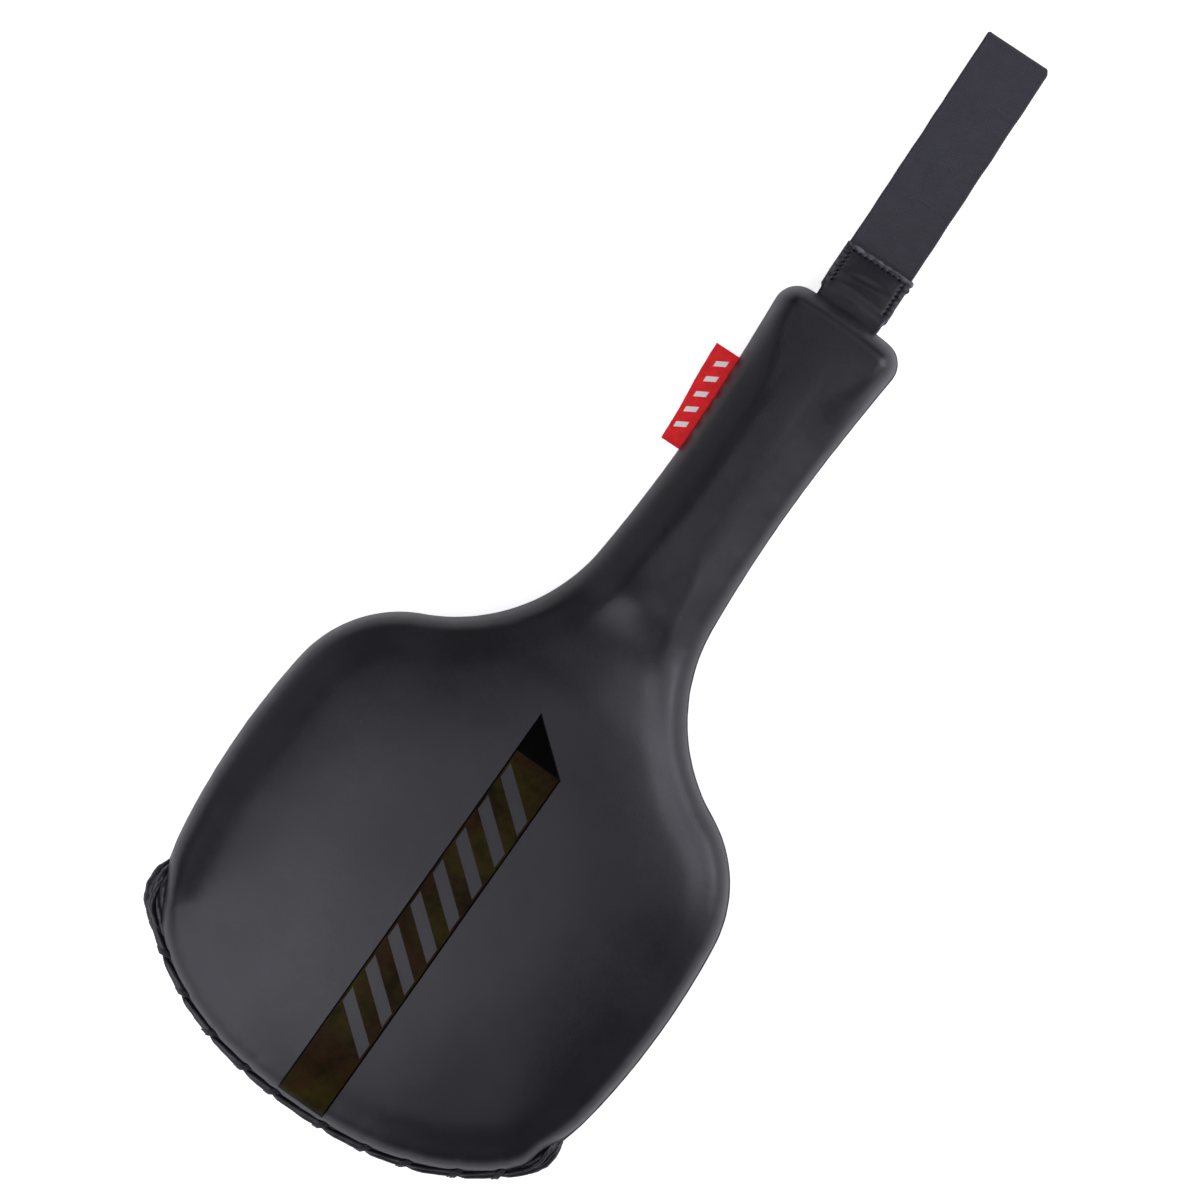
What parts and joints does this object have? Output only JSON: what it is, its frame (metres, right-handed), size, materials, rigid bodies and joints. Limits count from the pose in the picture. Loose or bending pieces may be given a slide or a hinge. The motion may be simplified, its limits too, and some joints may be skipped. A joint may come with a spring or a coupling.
{
  "type": "kick paddle",
  "caption": "Padded striking paddle with a rounded square head, a slim padded grip, an elastic wrist loop on a leather tab and a small side label.",
  "frame": {"origin": "middle of the head's widest place, on the flat back face the paddle rests on", "axes": "+Y runs from the head up the grip to the wrist loop, +Z out of the striking face, +X to the right seen from the front"},
  "size_m": [0.2064, 0.5183, 0.0442],
  "materials": {
    "cover_leather": "satin",
    "tab_leather": "satin",
    "head_foam": "matte",
    "grip_foam": "matte",
    "core_board": "matte",
    "thread": "matte",
    "gloss_print": "gloss",
    "webbing": "matte",
    "label_weave": "matte"
  },
  "bodies": {
    "paddle": {"front_cover": "cover_leather", "back_cover": "cover_leather", "front_head_foam": "head_foam", "back_head_foam": "head_foam", "front_grip_foam": "grip_foam", "back_grip_foam": "grip_foam", "core_board": "core_board", "side_seam_thread": "thread", "closing_stitches": "thread", "face_band": "gloss_print", "tab_root": "tab_leather", "label_root": "label_weave"},
    "tab": {"tab_front": "tab_leather", "tab_back": "tab_leather", "tab_stitching": "thread", "loop_tail": "webbing"},
    "loop_start": {"loop_base": "webbing"},
    "front_lower": {"loop_front_lower": "webbing"},
    "front_upper": {"loop_front_upper": "webbing"},
    "loop_end": {"loop_end_fold": "webbing"},
    "back_lower": {"loop_back_lower": "webbing"},
    "back_upper": {"loop_back_upper": "webbing"},
    "label": {"side_label": "label_weave"}
  },
  "joints": [
    {"name": "tab_swing", "type": "hinge", "parent": "paddle", "child": "tab", "pos_m": [-0.0015, 0.27824, 0.022], "axis": [0.9995, 0.0314, 0], "range_deg": [-43, 126]},
    {"name": "loop_swing", "type": "hinge", "parent": "tab", "child": "loop_start", "pos_m": [-0.0022, 0.30058, 0.002], "axis": [0.9995, 0.0314, 0], "range_deg": [-96, 13]},
    {"name": "loop_open", "type": "hinge", "parent": "loop_start", "child": "front_lower", "pos_m": [-0.00239, 0.30658, 0.00295], "axis": [0.9995, 0.0314, 0], "range_deg": [0, 45]},
    {"name": "front_bend", "type": "hinge", "parent": "front_lower", "child": "front_upper", "pos_m": [-0.00384, 0.35268, 0.00295], "axis": [0.9995, 0.0314, 0], "range_deg": [-90, 0]},
    {"name": "end_level", "type": "hinge", "parent": "front_upper", "child": "loop_end", "pos_m": [-0.00529, 0.39879, 0.00295], "axis": [0.9995, 0.0314, 0], "range_deg": [0, 45]},
    {"name": "back_open", "type": "hinge", "parent": "loop_start", "child": "back_lower", "pos_m": [-0.00239, 0.30658, 0.00105], "axis": [0.9995, 0.0314, 0], "range_deg": [-45, 0]},
    {"name": "back_bend", "type": "hinge", "parent": "back_lower", "child": "back_upper", "pos_m": [-0.00384, 0.35268, 0.00105], "axis": [0.9995, 0.0314, 0], "range_deg": [0, 90]},
    {"name": "label_flip", "type": "hinge", "parent": "paddle", "child": "label", "pos_m": [-0.0262, 0.214, 0.022], "axis": [-0.0287, 0.9996, 0], "range_deg": [-80, 80]}
  ],
  "couplings": [
    {"joint": "front_bend", "follows": "loop_open", "ratio": -2},
    {"joint": "end_level", "follows": "loop_open", "ratio": 1},
    {"joint": "back_open", "follows": "loop_open", "ratio": -1},
    {"joint": "back_bend", "follows": "loop_open", "ratio": 2}
  ]
}
